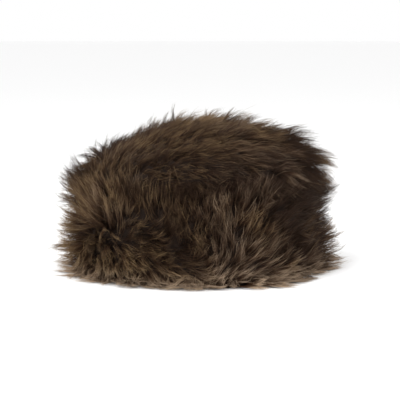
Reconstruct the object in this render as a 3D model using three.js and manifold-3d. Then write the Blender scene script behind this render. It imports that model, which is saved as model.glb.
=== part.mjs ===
// A soft pillbox hat in long brown fur: a straight side band and a domed crown, sewn edge to edge.
// Each piece is a pelt: a thin hide, a dense layer of underfur on it, and long locks that lie over
// each other the way the fur is combed. The hat stands on the lower edge of its band.
// Millimetres, +Z up, -Y the side that faces the viewer, +X to the viewer's right.
import * as THREE from "three";
import { ParametricGeometry } from "three/addons/geometries/ParametricGeometry.js";
import { mergeVertices } from "three/addons/utils/BufferGeometryUtils.js";
import Module from "manifold-3d";

const wasm = await Module();
wasm.setup();

// The head opening, inside the hide, and the heights of the two pieces.
const HEAD_WIDTH = 178;
const HEAD_DEPTH = 190;
const BAND_HEIGHT = 83;
const CROWN_RISE = 35;

// The pelts: hide, and the underfur that stands on it.
const HIDE = 2.5;
const BAND_UNDERFUR = 15;
const CROWN_UNDERFUR = 14;

// The seam between the pelts, and how far the crown's fur droops over it for each millimetre outwards.
const SEAM_GAP = 0.3;
const SEAM_DROOP = 0.1;

// The locks of long fur: length, width and thickness of one, their spacing, and how deep one is rooted.
const LOCK_LENGTH = 38;
const LOCK_WIDTH = 24;
const LOCK_DEPTH = 9;
const LOCK_SPACING = 25;
const LOCK_ROOT = 4;
const LOCK_CLEARANCE = 0.6;

// How uneven the locks are, as shares of their length, width and spacing.
const LENGTH_UNEVEN = 0.22;
const WIDTH_UNEVEN = 0.11;
const SPACING_UNEVEN = 0.25;

// Where a lock bends over, as shares of its reach along the pelt and of its rise off it.
const BEND_REACH = 0.35;
const BEND_RISE = 0.8;

// The length of the crown's locks, as a share of the band's.
const CROWN_LOCK = 0.86;

// How much higher the dome swells on the viewer's right than on the left, as a share of its rise.
const CROWN_LEAN = 0.24;

const WALL_SIDES = 44;
const LOCK_SIDES = 3;
const LOCK_RINGS = 3;
const RADIAN = Math.PI / 180;

// The underfur's outline on the band, from the lower edge to the seam.
// up: share of the band's height. swell: share of the underfur's thickness.
const BAND_OUTLINE = [
  { up: 0, swell: 0.55 },
  { up: 0.1, swell: 0.92 },
  { up: 0.32, swell: 1 },
  { up: 0.55, swell: 0.94 },
  { up: 0.8, swell: 0.88 },
  { up: 0.93, swell: 0.6 },
  { up: 1, swell: 0.2 },
];

// The rings of the dome, from its top to its rim.
// across: share of the radius. rise: share of the crown's rise. swell: share of the underfur's thickness.
const CROWN_OUTLINE = [
  { across: 0, rise: 1, swell: 1 },
  { across: 0.3, rise: 0.97, swell: 1 },
  { across: 0.56, rise: 0.85, swell: 1 },
  { across: 0.76, rise: 0.69, swell: 1 },
  { across: 0.9, rise: 0.5, swell: 1 },
  { across: 0.98, rise: 0.24, swell: 0.9 },
  { across: 1, rise: 0, swell: 0.35 },
];

// Where the fur of the band is parted or pressed in.
// around: degrees from the front, the viewer's right first. up: share of the height.
// wide, tall: reach in degrees and in shares of the height. depth: share of the underfur.
const BAND_DENTS = [
  { around: -86, up: 0.5, wide: 26, tall: 0.12, depth: 0.6 },
  { around: -14, up: 0.42, wide: 18, tall: 0.14, depth: 0.35 },
  { around: 44, up: 0.4, wide: 9, tall: 0.3, depth: 0.45 },
  { around: 80, up: 0.55, wide: 24, tall: 0.18, depth: 0.4 },
  { around: 165, up: 0.5, wide: 30, tall: 0.14, depth: 0.3 },
];

// How the band's fur is combed, a row for each tuft.
// lean: degrees on the pelt, 0 towards the crown and 90 to the viewer's right.
// lift: degrees off the pelt. long: share of a lock's length.
const BAND_COMBING = [
  { around: -92, up: 0.85, lean: -65, lift: 38, long: 0.9 },
  { around: -60, up: 0.8, lean: -25, lift: 24, long: 1.05 },
  { around: -40, up: 0.8, lean: -5, lift: 20, long: 1.05 },
  { around: -25, up: 0.75, lean: -32, lift: 20, long: 0.9 },
  { around: -86, up: 0.52, lean: -80, lift: 22, long: 0.6 },
  { around: -92, up: 0.28, lean: -90, lift: 44, long: 1.1 },
  { around: -60, up: 0.3, lean: -98, lift: 34, long: 1 },
  { around: -80, up: 0.04, lean: -112, lift: 36, long: 0.95 },
  { around: -46, up: 0.1, lean: 108, lift: 26, long: 0.95 },
  { around: -30, up: 0.35, lean: 97, lift: 20, long: 0.9 },
  { around: -15, up: 0.12, lean: 124, lift: 24, long: 0.9 },
  { around: -6, up: 0.5, lean: -30, lift: 16, long: 0.75 },
  { around: -3, up: 0.8, lean: -8, lift: 20, long: 0.9 },
  { around: 6, up: 0.35, lean: -36, lift: 26, long: 1 },
  { around: 14, up: 0.62, lean: -14, lift: 26, long: 1 },
  { around: 24, up: 0.6, lean: 26, lift: 24, long: 1.05 },
  { around: 29, up: 0.22, lean: 52, lift: 28, long: 1.05 },
  { around: 33, up: 0.04, lean: 86, lift: 24, long: 1.1 },
  { around: 46, up: 0.4, lean: 70, lift: 18, long: 0.8 },
  { around: 40, up: 0.8, lean: 45, lift: 22, long: 0.95 },
  { around: 62, up: 0.75, lean: 78, lift: 20, long: 0.9 },
  { around: 92, up: 0.6, lean: 50, lift: 30, long: 0.95 },
  { around: 60, up: 0.1, lean: 108, lift: 26, long: 0.95 },
  { around: 94, up: 0.08, lean: 90, lift: 40, long: 1.4 },
  { around: 125, up: 0.7, lean: 72, lift: 26, long: 1 },
  { around: 130, up: 0.2, lean: 104, lift: 30, long: 1 },
  { around: 175, up: 0.75, lean: 58, lift: 24, long: 1 },
  { around: 180, up: 0.2, lean: 118, lift: 30, long: 1 },
  { around: 225, up: 0.75, lean: 30, lift: 26, long: 1 },
  { around: 228, up: 0.22, lean: 150, lift: 30, long: 1 },
];

// How the crown's fur is combed. right, back: shares of the radius from the middle.
// lean: degrees seen from above, 0 to the back and 90 to the viewer's right.
const CROWN_COMBING = [
  { right: -1.05, back: -0.1, lean: -84, lift: 58, long: 0.8 },
  { right: -0.8, back: -0.6, lean: 110, lift: 28, long: 0.8 },
  { right: -0.75, back: 0.6, lean: 40, lift: 34, long: 0.7 },
  { right: -0.68, back: 0, lean: 84, lift: 12, long: 0.75 },
  { right: -0.4, back: -0.35, lean: 88, lift: 12, long: 0.85 },
  { right: -0.35, back: 0.45, lean: 66, lift: 20, long: 0.8 },
  { right: -0.2, back: -0.85, lean: 122, lift: 14, long: 0.9 },
  { right: 0.1, back: -0.2, lean: 92, lift: 12, long: 0.9 },
  { right: 0.1, back: 0.75, lean: 60, lift: 24, long: 0.95 },
  { right: 0.4, back: -0.8, lean: 114, lift: 16, long: 1 },
  { right: 0.5, back: 0.1, lean: 92, lift: 16, long: 0.95 },
  { right: 0.8, back: -0.5, lean: 104, lift: 24, long: 1 },
  { right: 1, back: 0, lean: 90, lift: 44, long: 0.85 },
  { right: 0.7, back: 0.65, lean: 68, lift: 28, long: 0.95 },
];

// The rows of locks. up and across: shares of the height and of the radius.
const BAND_ROWS = [0.1, 0.31, 0.52, 0.73, 0.9];
const CROWN_ROWS = [0.98, 0.88, 0.73, 0.56, 0.37, 0.15];

// How far one combing row reaches: degrees and height on the band, radius on the crown.
const COMB_AROUND = 15;
const COMB_UP = 0.2;
const COMB_ACROSS = 0.26;

// What a row still counts for far away, so that every place is combed.
const COMB_FAR = 1e-7;

// The small steps, in degrees and in shares, that a pelt's slope is worked out from.
const STEP_AROUND = 1;
const STEP_SHARE = 0.02;

// A repeatable number from -1 to 1 for the i-th lock of a row.
function uneven(row, i) {
  const wave = Math.sin(row * 127.1 + i * 311.7) * 43758.5453;
  return 2 * (wave - Math.floor(wave)) - 1;
}

// The value of one column of a table at a place along another, on straight lines between rows.
function along(table, key, place, column) {
  const next = table.findIndex((row) => row[key] >= place);
  if (next === 0) return table[0][column];
  if (next < 0) return table[table.length - 1][column];
  const before = table[next - 1];
  const after = table[next];
  const share = (place - before[key]) / (after[key] - before[key]);
  return before[column] + share * (after[column] - before[column]);
}

// The shortest turn between two directions, in degrees.
function turn(from, to) {
  return ((((to - from) % 360) + 540) % 360) - 180;
}

// Blends the rows of a combing table, near ones first. far gives a row's squared distance.
function combed(table, far) {
  const blend = { east: 0, north: 0, lift: 0, long: 0, weight: 0 };
  for (const row of table) {
    const weight = Math.exp(-far(row)) + COMB_FAR / (1 + far(row));
    blend.east += weight * Math.sin(row.lean * RADIAN);
    blend.north += weight * Math.cos(row.lean * RADIAN);
    blend.lift += weight * row.lift;
    blend.long += weight * row.long;
    blend.weight += weight;
  }
  return {
    lean: Math.atan2(blend.east, blend.north),
    lift: (blend.lift / blend.weight) * RADIAN,
    long: blend.long / blend.weight,
  };
}

// A point on the oval of the head: share of its radius, then millimetres outwards.
function ovalPoint(around, share, out, z) {
  const angle = around * RADIAN;
  return new THREE.Vector3(
    ((HEAD_WIDTH / 2) * share + out) * Math.sin(angle),
    -((HEAD_DEPTH / 2) * share + out) * Math.cos(angle),
    z,
  );
}

// The height of the seam, which droops outwards.
function seamHeight(out) {
  return BAND_HEIGHT - SEAM_DROOP * out;
}

// The outside of the band's underfur.
function bandPoint(around, up) {
  const dented = BAND_DENTS.reduce((sum, dent) => {
    const sideways = turn(dent.around, around) / dent.wide;
    const upwards = (up - dent.up) / dent.tall;
    return sum + dent.depth * Math.exp(-(sideways ** 2) - upwards ** 2);
  }, 0);
  const swell = along(BAND_OUTLINE, "up", up, "swell") * (1 - dented);
  const out = HIDE + BAND_UNDERFUR * swell;
  return ovalPoint(around, 1, out, up * seamHeight(out));
}

// The height of the dome's hide over the seam, at a share of the radius.
function domeHeight(around, across) {
  const lean = 1 + CROWN_LEAN * across * Math.sin(around * RADIAN);
  return CROWN_RISE * lean * along(CROWN_OUTLINE, "across", across, "rise");
}

// The outside of the crown's underfur: the dome's hide, thickened upwards on top and outwards at the rim.
function crownPoint(around, across) {
  const swell = along(CROWN_OUTLINE, "across", across, "swell");
  const thick = HIDE + CROWN_UNDERFUR * swell;
  const out = thick * across ** 3;
  const rise = domeHeight(around, across) + thick * (1 - across ** 4);
  return ovalPoint(around, across, out, seamHeight(out) + SEAM_GAP + rise);
}

// A closed solid from a geometry whose seams and poles are still open: corners that meet become one, and
// triangles that shrank to a line at a pole go.
function toSolid(geometry) {
  geometry.deleteAttribute("normal");
  geometry.deleteAttribute("uv");
  const merged = mergeVertices(geometry, 1e-4);
  const corners = merged.index.array;
  const whole = [];
  for (let i = 0; i < corners.length; i += 3) {
    const [a, b, c] = corners.slice(i, i + 3);
    if (a !== b && b !== c && c !== a) whole.push(a, b, c);
  }
  return new wasm.Manifold(
    new wasm.Mesh({
      numProp: 3,
      vertProperties: merged.attributes.position.array,
      triVerts: new Uint32Array(whole),
    }),
  );
}

// A skin round the hat through rings of points. pointAt(around, ring) gives a point of one ring.
function skin(pointAt, rings, closed) {
  const steps = closed ? rings.length : rings.length - 1;
  const place = (u, v, target) =>
    target.copy(pointAt(u * 360, rings[Math.round(v * steps) % rings.length]));
  return toSolid(new ParametricGeometry(place, WALL_SIDES, steps));
}

// The band without its locks: the underfur outside, the bare hide inside, a flat lower edge.
function bandPelt() {
  const outside = BAND_OUTLINE.map((row) => ({ up: row.up, inside: false }));
  const inside = [1, 0.5, 0].map((up) => ({ up, inside: true }));
  const pointAt = (around, ring) =>
    ring.inside
      ? ovalPoint(around, 1, 0, ring.up * BAND_HEIGHT)
      : bandPoint(around, ring.up);
  return skin(pointAt, [...outside, ...inside], true);
}

// The crown without its locks: a dome with the bare hide inside.
function crownPelt() {
  const shares = CROWN_OUTLINE.map((row) => row.across);
  const inside = shares.map((across) => ({ across, inside: true }));
  const outside = shares.map((across) => ({ across, inside: false })).reverse();
  const pointAt = (around, ring) => {
    if (!ring.inside) return crownPoint(around, ring.across);
    const z = BAND_HEIGHT + SEAM_GAP + domeHeight(around, ring.across);
    return ovalPoint(around, ring.across, 0, z);
  };
  return skin(pointAt, [...inside, ...outside], false);
}

// How thick a lock is along its length: three quarters at its root, full a third of the way on, and a
// point at its tip.
function girth(t) {
  return Math.sin(Math.PI * (0.25 + 0.75 * t));
}

// One lock: a flattened cone bent along a spine that rises from the pelt and lies over with the combing.
// press moves a point back to the lock's own side of the seam and off the ground.
function lock(root, normal, flow, style, press) {
  const reach = (along, rise) =>
    root
      .clone()
      .addScaledVector(flow, style.length * along * Math.cos(style.lift))
      .addScaledVector(normal, style.length * rise * Math.sin(style.lift));
  const start = root.clone().addScaledVector(normal, -LOCK_ROOT);
  const spine = new THREE.QuadraticBezierCurve3(start, reach(BEND_REACH, BEND_RISE), reach(1, 1));
  const side = new THREE.Vector3().crossVectors(flow, normal).normalize();
  const cone = new THREE.ConeGeometry(1, 1, LOCK_SIDES, LOCK_RINGS);
  const points = cone.attributes.position;
  for (let i = 0; i < points.count; i++) {
    const t = points.getY(i) + 0.5;
    const ring = Math.hypot(points.getX(i), points.getZ(i));
    const girthHere = ring > 0 ? girth(t) / ring / 2 : 0;
    const up = new THREE.Vector3().crossVectors(side, spine.getTangent(t)).normalize();
    const place = spine
      .getPoint(t)
      .addScaledVector(side, points.getX(i) * girthHere * style.width)
      .addScaledVector(up, points.getZ(i) * girthHere * style.depth);
    press(place);
    points.setXYZ(i, place.x, place.y, place.z);
  }
  return toSolid(cone);
}

// A point of a pelt, the directions along it and its outward normal. towards says which way the share runs
// from the lower edge to the top.
function surfaceFrame(pointAt, around, share, towards) {
  const here = pointAt(around, share);
  const sideways = pointAt(around + STEP_AROUND, share)
    .sub(pointAt(around - STEP_AROUND, share))
    .normalize();
  const onwards = pointAt(around, share + towards * STEP_SHARE)
    .sub(here)
    .normalize();
  const normal = new THREE.Vector3().crossVectors(sideways, onwards).normalize();
  return { here, sideways, onwards, normal };
}

// The form of the i-th lock of a row, from the combing there and the piece's own share of the full length.
function lockStyle(comb, row, i, share) {
  return {
    length: LOCK_LENGTH * share * comb.long * (1 + LENGTH_UNEVEN * uneven(row, i)),
    width: LOCK_WIDTH * (1 + WIDTH_UNEVEN * uneven(i, row)),
    depth: LOCK_DEPTH,
    lift: comb.lift,
  };
}

// How far out of the head's oval a point lies.
function outOf(point) {
  const angle = Math.atan2(point.x / HEAD_WIDTH, -point.y / HEAD_DEPTH);
  const oval = Math.hypot((HEAD_WIDTH / 2) * Math.sin(angle), (HEAD_DEPTH / 2) * Math.cos(angle));
  return Math.hypot(point.x, point.y) - oval;
}

// The angles of one row of locks round an oval of the given radius, each row turned by half a lock.
function rowAngles(radius, row) {
  const count = Math.max(5, Math.round((2 * Math.PI * radius) / LOCK_SPACING));
  return Array.from({ length: count }, (_, i) => {
    const jitter = SPACING_UNEVEN * uneven(i, row);
    return ((i + 0.5 * (row % 2) + jitter) * 360) / count;
  });
}

function bandLocks() {
  const press = (point) => {
    point.z = Math.max(LOCK_CLEARANCE, Math.min(point.z, seamHeight(outOf(point)) - LOCK_CLEARANCE));
  };
  const radius = (HEAD_WIDTH + HEAD_DEPTH) / 4 + HIDE + BAND_UNDERFUR;
  return BAND_ROWS.flatMap((up, row) =>
    rowAngles(radius, row).map((around, i) => {
      const { here, sideways, onwards, normal } = surfaceFrame(bandPoint, around, up, 1);
      const far = (tuft) =>
        (turn(tuft.around, around) / COMB_AROUND) ** 2 + ((up - tuft.up) / COMB_UP) ** 2;
      const comb = combed(BAND_COMBING, far);
      const flow = new THREE.Vector3()
        .addScaledVector(onwards, Math.cos(comb.lean))
        .addScaledVector(sideways, Math.sin(comb.lean))
        .normalize();
      return lock(here, normal, flow, lockStyle(comb, row, i, 1), press);
    }),
  );
}

function crownLocks() {
  const press = (point) => {
    point.z = Math.max(point.z, seamHeight(outOf(point)) + SEAM_GAP);
  };
  const radius = (HEAD_WIDTH + HEAD_DEPTH) / 4 + HIDE + CROWN_UNDERFUR;
  return CROWN_ROWS.flatMap((across, row) =>
    rowAngles(radius * across, row).map((around, i) => {
      const { here, normal } = surfaceFrame(crownPoint, around, across, -1);
      const right = across * Math.sin(around * RADIAN);
      const back = -across * Math.cos(around * RADIAN);
      const far = (tuft) =>
        ((right - tuft.right) ** 2 + (back - tuft.back) ** 2) / COMB_ACROSS ** 2;
      const comb = combed(CROWN_COMBING, far);
      const flow = new THREE.Vector3(Math.sin(comb.lean), Math.cos(comb.lean), 0)
        .projectOnPlane(normal)
        .normalize();
      return lock(here, normal, flow, lockStyle(comb, row, i, CROWN_LOCK), press);
    }),
  );
}

// A pelt with all its locks as one named mesh.
function furPiece(name, pelt, locks, colour) {
  const joined = locks.reduce((fur, tuft) => fur.add(tuft), pelt);
  const made = joined.getMesh();
  const geometry = new THREE.BufferGeometry()
    .setAttribute("position", new THREE.BufferAttribute(made.vertProperties, 3))
    .setIndex(new THREE.BufferAttribute(made.triVerts, 1));
  geometry.computeVertexNormals();
  const fur = new THREE.MeshStandardMaterial({ color: colour, roughness: 0.85, metalness: 0 });
  const mesh = new THREE.Mesh(geometry, fur);
  mesh.name = name;
  return mesh;
}

const hat = new THREE.Group();
hat.add(furPiece("side_band", bandPelt(), bandLocks(), 0x3f3122));
hat.add(furPiece("crown", crownPelt(), crownLocks(), 0x46372a));

// The origin is on the surface that the hat stands on, under the middle of its box.
const box = new THREE.Box3().setFromObject(hat);
hat.position.set(-(box.min.x + box.max.x) / 2, -(box.min.y + box.max.y) / 2, 0);

export default hat;
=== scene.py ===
"""A soft pillbox hat in long brown fur, standing on a pale floor.

The hat is two pelts, a side band and a domed crown. Each has a bare hide inside, a dense dark underfur on
it, and long hair that is combed over and hangs together in tufts and locks, with pale guard hairs over it.
Metres, +Z up, -Y the side that faces the viewer, +X to the viewer's right.
"""

import bpy
import numpy as np
from bpy.props import FloatProperty, FloatVectorProperty, IntProperty, PointerProperty
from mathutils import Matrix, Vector


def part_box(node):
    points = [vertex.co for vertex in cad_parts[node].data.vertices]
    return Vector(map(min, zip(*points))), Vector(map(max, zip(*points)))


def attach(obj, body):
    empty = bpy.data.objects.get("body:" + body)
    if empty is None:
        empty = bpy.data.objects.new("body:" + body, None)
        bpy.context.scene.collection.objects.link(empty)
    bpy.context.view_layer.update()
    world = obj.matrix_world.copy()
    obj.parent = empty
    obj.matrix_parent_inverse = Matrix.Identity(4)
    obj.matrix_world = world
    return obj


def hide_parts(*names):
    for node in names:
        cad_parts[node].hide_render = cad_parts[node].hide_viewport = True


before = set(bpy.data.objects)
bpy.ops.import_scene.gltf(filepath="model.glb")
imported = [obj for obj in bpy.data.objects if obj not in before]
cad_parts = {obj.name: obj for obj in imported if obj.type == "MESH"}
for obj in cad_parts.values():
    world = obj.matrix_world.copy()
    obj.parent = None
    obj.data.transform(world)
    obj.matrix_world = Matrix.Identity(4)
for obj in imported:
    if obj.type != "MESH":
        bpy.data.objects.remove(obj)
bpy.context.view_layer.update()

bl_info = {
    "name": "Fur Hat",
    "version": (1, 0, 0),
    "blender": (4, 5, 0),
    "location": "3D View > Sidebar > Fur Hat",
    "description": "Dresses a hat's two pelts in underfur, combed hair and guard hair",
    "category": "Add Mesh",
}


def node_points(name):
    """The corners of a CAD node, as rows of x, y, z."""
    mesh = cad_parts[name].data
    points = np.empty(len(mesh.vertices) * 3)
    mesh.vertices.foreach_get("co", points)
    return points.reshape(-1, 3)


# The band's lower edge is a flat ring between two ovals. The inner one is the head opening, and its corners
# lie within a share of the outer one's reach.
ON_FLOOR = 0.0001
INNER_SHARE = 0.95
band_corners = node_points("side_band")
rim = band_corners[band_corners[:, 2] < ON_FLOOR, :2]
AXIS = (rim.min(0) + rim.max(0)) / 2
rim_reach = (rim.max(0) - rim.min(0)) / 2
opening = rim[np.hypot(*((rim - AXIS) / rim_reach).T) < INNER_SHARE]
HEAD = (opening.max(0) - opening.min(0)) / 2
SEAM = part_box("side_band")[1].z

# Over the axis, the lowest corner of the crown is the pole of its inside.
POLE_REACH = 0.001
crown_corners = node_points("crown")
over_axis = np.hypot(*(crown_corners[:, :2] - AXIS).T) < POLE_REACH
CROWN_RISE = crown_corners[over_axis, 2].min() - SEAM


def table(columns, rows):
    """The rows as an array whose columns have names."""
    return np.array(rows, dtype=[(name, float) for name in columns.split()])


# How the underfur's thickness goes from the band's lower edge to the seam, in shares.
BAND_OUTLINE = table("up swell", [
    (0, 0.6), (0.1, 0.85), (0.32, 0.92), (0.55, 0.88), (0.8, 0.8), (0.93, 0.55), (1, 0.25),
])

# The dome from its top to its rim, in shares of its radius, its rise and the underfur's thickness.
CROWN_OUTLINE = table("across rise swell", [
    (0, 1, 0.9),
    (0.3, 0.97, 0.9),
    (0.56, 0.85, 0.9),
    (0.76, 0.69, 0.9),
    (0.9, 0.5, 0.9),
    (0.98, 0.24, 0.75),
    (1, 0, 0.3),
])

# How much more the dome rises at its right edge, as a share, and less at its left.
CROWN_LEAN = 0.24

# Where the band's fur is parted: degrees round, share of the height, reach in both, and depth.
BAND_DENTS = table("around up wide tall depth", [
    (-86, 0.5, 26, 0.12, 0.6),
    (-14, 0.42, 18, 0.14, 0.35),
    (44, 0.4, 9, 0.3, 0.45),
    (80, 0.55, 24, 0.18, 0.4),
    (165, 0.5, 30, 0.14, 0.3),
])

# How the band's fur is combed. around: degrees from the front to the viewer's right. up: share of the
# height. lean: degrees on the pelt, 0 towards the crown and 90 to the viewer's right. lift: degrees off the
# pelt. long: share of the hair's length. tone: how pale its tips are, and below 0 even its strays are dark.
# Besides the fur's own pale and dark patches, tone holds painted shade and painted light: the darker rows
# under the crown's rim and down the right side are painted shade, and the palest rows along the lower edge
# are partly pale tips and partly painted light thrown up from the floor.
BAND_COLUMNS = "around up lean lift long tone"
BAND_COMBING = table(BAND_COLUMNS, [
    (-92, 0.88, -46, 50, 1.35, 0.15),
    (-75, 0.98, -40, 26, 0.8, -0.1),
    (-58, 0.96, -12, 20, 0.85, 0.2),
    (-42, 0.96, 0, 18, 0.95, 0.35),
    (-70, 0.76, -30, 28, 1, 0.5),
    (-58, 0.62, -38, 26, 1.05, 0.55),
    (-50, 0.84, -10, 22, 1, 0.6),
    (-40, 0.62, -5, 20, 1, 0.4),
    (-34, 0.84, 4, 20, 0.95, 0.5),
    (-26, 0.75, 25, 24, 0.8, 0.35),
    (-13, 0.92, 0, 16, 0.6, -0.15),
    (-14, 0.72, 0, 20, 0.75, 0.32),
    (-18, 0.98, 10, 14, 0.5, 0),
    (-3, 0.97, 0, 14, 0.5, -0.3),
    (10, 0.97, 0, 16, 0.6, -0.3),
    (-8, 0.56, 0, 20, 0.75, -0.1),
    (6, 0.72, -20, 22, 0.7, 0.18),
    (11, 0.6, -10, 22, 1, 0.35),
    (20, 0.78, 10, 24, 0.9, 0.32),
    (22, 0.93, -8, 22, 0.8, 0.35),
    (37, 0.95, 30, 16, 0.7, -0.5),
    (-91, 0.54, -95, 36, 0.95, 0.4),
    (-86, 0.38, -88, 50, 1.35, 0.85),
    (-93, 0.32, -90, 62, 1.7, 0.8),
    (-86, 0.1, -100, 52, 0.95, 1.2),
    (-85, 0.04, -104, 54, 1.4, 1.2),
    (-72, 0.08, 114, 46, 1.1, 1),
    (-86, 0.23, -98, 54, 1.4, 0.8),
    (-70, 0.28, 116, 40, 1, 0.6),
    (-54, 0.4, 100, 30, 0.95, 0.35),
    (-33, 0.48, 100, 20, 1, 0.25),
    (-24, 0.62, 135, 20, 0.9, 0.1),
    (-30, 0.25, 100, 22, 1, 0.42),
    (-46, 0.14, 118, 34, 1, 0.8),
    (-46, 0, 128, 42, 0.9, 1.9),
    (-20, 0.16, 122, 24, 0.9, 1),
    (-22, 0, 128, 32, 0.8, 1.8),
    (-10, 0.35, 100, 16, 0.8, -0.12),
    (0, 0.22, 110, 18, 0.8, 0.6),
    (0, 0, 110, 28, 0.7, 1.7),
    (4, 0.44, -40, 22, 0.95, 0.25),
    (8, 0.28, -35, 24, 1, 0.3),
    (13, 0.01, 40, 28, 0.8, 1.5),
    (15, 0.35, 0, 24, 1, 0.38),
    (22, 0.58, 10, 24, 1, 0.75),
    (25, 0.35, 30, 24, 1.05, 0.36),
    (32, 0.6, 35, 24, 1, -0.2),
    (30, 0.2, 60, 28, 1.05, 0.7),
    (34, 0.03, 88, 46, 1.3, 1.5),
    (38, 0.74, 40, 16, 0.8, 0.05),
    (40, 0.5, 50, 22, 0.9, -0.05),
    (48, 0.6, 70, 20, 0.9, 0.2),
    (52, 0.84, 60, 18, 0.85, 0),
    (45, 0.3, 50, 14, 0.8, -0.08),
    (60, 0.62, 85, 18, 0.9, 0.05),
    (75, 0.65, 90, 22, 0.9, 0),
    (90, 0.64, 80, 46, 1.2, 0),
    (90, 0.93, 66, 50, 1.1, 0),
    (92, 0.42, 66, 40, 1.15, 0.2),
    (93, 0.13, 92, 44, 1.6, 0.8),
    (62, 0.22, 36, 36, 0.75, 0),
    (60, 0.03, 118, 44, 0.8, 0.45),
    (45, 0.02, 100, 42, 0.8, 0.6),
    (118, 0.8, 74, 26, 1, 0.35),
    (120, 0.4, 92, 28, 1, 0.5),
    (118, 0.1, 104, 32, 1, 0.7),
    (145, 0.78, 60, 24, 1, 0.35),
    (150, 0.48, 84, 26, 1, 0.5),
    (148, 0.12, 112, 30, 1, 0.6),
    (176, 0.8, 62, 24, 1, 0.45),
    (180, 0.45, 88, 22, 0.95, 0.3),
    (178, 0.1, 118, 30, 1, 0.6),
    (205, 0.78, 40, 24, 1, 0.45),
    (208, 0.42, 96, 24, 1, 0.5),
    (210, 0.1, 140, 30, 1, 0.6),
    (236, 0.78, 8, 26, 1, 0.4),
    (240, 0.42, -60, 26, 0.9, 0.45),
    (236, 0.1, -150, 34, 1, 0.6),
])

# How the crown's fur is combed. right, back: shares of the radius. lean: degrees seen from above, 0 to the
# back and 90 to the viewer's right. Its tone is as the band's, with painted light and shade in it: the front
# rim is darker as painted shade over the seam, the front slope paler as painted light, and the top darker as
# painted shade, so that the dome looks evenly lit.
CROWN_COLUMNS = "right back lean lift long tone"
CROWN_COMBING = table(CROWN_COLUMNS, [
    (-1.02, -0.1, -76, 48, 1.05, 0.05),
    (-0.92, -0.42, 88, 18, 0.55, 0.45),
    (-0.8, 0.5, 62, 10, 0.7, 0.35),
    (-0.6, 0.72, 66, 14, 0.85, 0.4),
    (-0.68, 0, 84, 10, 0.65, -0.1),
    (-0.6, -0.6, 88, 12, 0.8, 0.42),
    (-0.52, -0.8, 100, 14, 0.6, 0.05),
    (-0.4, -0.9, 110, 16, 0.7, 0.25),
    (-0.42, -0.66, 95, 16, 0.85, 0.35),
    (-0.4, -0.3, 88, 12, 0.85, 0.35),
    (-0.35, 0.45, 58, 26, 0.9, 0.4),
    (-0.18, -0.72, 98, 12, 0.95, 0.85),
    (-0.15, -1, 112, 12, 0.6, -0.45),
    (0.1, -1, 110, 12, 0.6, -0.5),
    (0, -0.86, 106, 12, 0.8, 0.8),
    (0, -0.75, 104, 12, 0.9, 0.55),
    (-0.02, -0.36, 94, 13, 0.95, 0.75),
    (-0.1, -0.6, 98, 13, 0.95, -0.1),
    (0, 0.05, 90, 12, 0.95, 0.6),
    (0.1, 0.75, 60, 14, 0.85, 0.55),
    (0.24, -0.55, 98, 13, 1, 0.35),
    (0.3, -1, 98, 14, 0.7, -0.3),
    (0.33, -0.82, 94, 16, 1, 0.55),
    (0.4, -0.15, 92, 12, 1, 0.5),
    (0.46, -0.6, 88, 14, 1, 0.45),
    (0.52, -0.86, 82, 14, 0.9, -0.25),
    (0.55, 0.3, 84, 2, 0.8, 0.45),
    (0.68, -0.62, 74, 16, 0.9, -0.1),
    (0.82, -0.36, 74, 36, 1.15, -0.12),
    (0.85, 0.1, 84, 16, 1.1, 0.2),
    (0.8, -0.66, 74, 28, 1.1, 0.5),
    (1.02, -0.15, 76, 60, 1.1, 0.3),
    (0.7, 0.6, 70, 6, 0.8, 0.4),
])

# How far a row of a comb reaches: degrees round the band, share of its height, share of the crown's radius.
# What it still counts for far away, so that every place is combed.
COMB_AROUND = 11
COMB_UP = 0.15
COMB_ACROSS = 0.2
FAR_SHARE = 1e-7

# Metres, or a share of the radius, that are too short to divide by.
TINY = 1e-6

# Tufts that stand out over the combing, each along its own lean. count: how many of them grow side by side.
# Their tone, as in the combing, holds painted shade and painted light along with the fur's own patches.
BAND_TUFTS = table(BAND_COLUMNS + " count", [
    (-84, 0.72, -50, 50, 1.2, 0.4, 4),
    (-90, 0.46, -84, 60, 1.3, 0.7, 4),
    (-90, 0.24, -96, 60, 1.4, 0.8, 5),
    (-70, 0.6, -28, 34, 1.3, 0.6, 4),
    (-70, 0.46, -92, 26, 1.2, 0.3, 6),
    (-74, 0.36, -104, 28, 1.1, 0.4, 4),
    (-66, 0.56, -66, 26, 1.2, 0.4, 5),
    (-76, 0.5, -80, 34, 1.1, 0.5, 4),
    (-84, 0.96, -22, 40, 1, -0.05, 8),
    (-50, 0.03, -100, 56, 1.2, 1, 4),
    (-64, 0.52, 130, 24, 1.1, 0.2, 4),
    (-49, 0.57, 96, 24, 1.2, 0.7, 3),
    (-38, 0.98, 168, 24, 0.8, 0.7, 3),
    (-30, 0.93, -170, 26, 0.7, 0.5, 2),
    (34, 0.03, 92, 56, 1.2, 0.9, 5),
    (82, 0.36, 56, 50, 1.4, 0.8, 4),
    (88, 0.3, 74, 46, 1.4, 0.8, 3),
    (86, 0.14, 90, 44, 1.5, 1.2, 4),
    (-54, 0.01, -140, 52, 0.9, 1.7, 6),
    (22, 0.01, 70, 46, 1, 1.6, 5),
    (30, 0.02, 80, 48, 1.1, 1.4, 5),
    (46, 0.02, 100, 50, 1, 0.3, 6),
    (54, 0.03, 100, 50, 1, 0.2, 5),
    (50, 0.2, -24, 34, 0.8, 0.15, 4),
    (58, 0.12, 160, 34, 0.8, 0.3, 4),
    (66, 0.3, 12, 34, 0.9, 0.2, 4),
    (70, 0.03, 104, 50, 1.1, 0.9, 5),
    (80, 0.03, 96, 56, 1.3, 1, 6),
    (-66, 0.02, -112, 58, 1.3, 1, 6),
    (-76, 0.03, -108, 60, 1.25, 1, 6),
])
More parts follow.
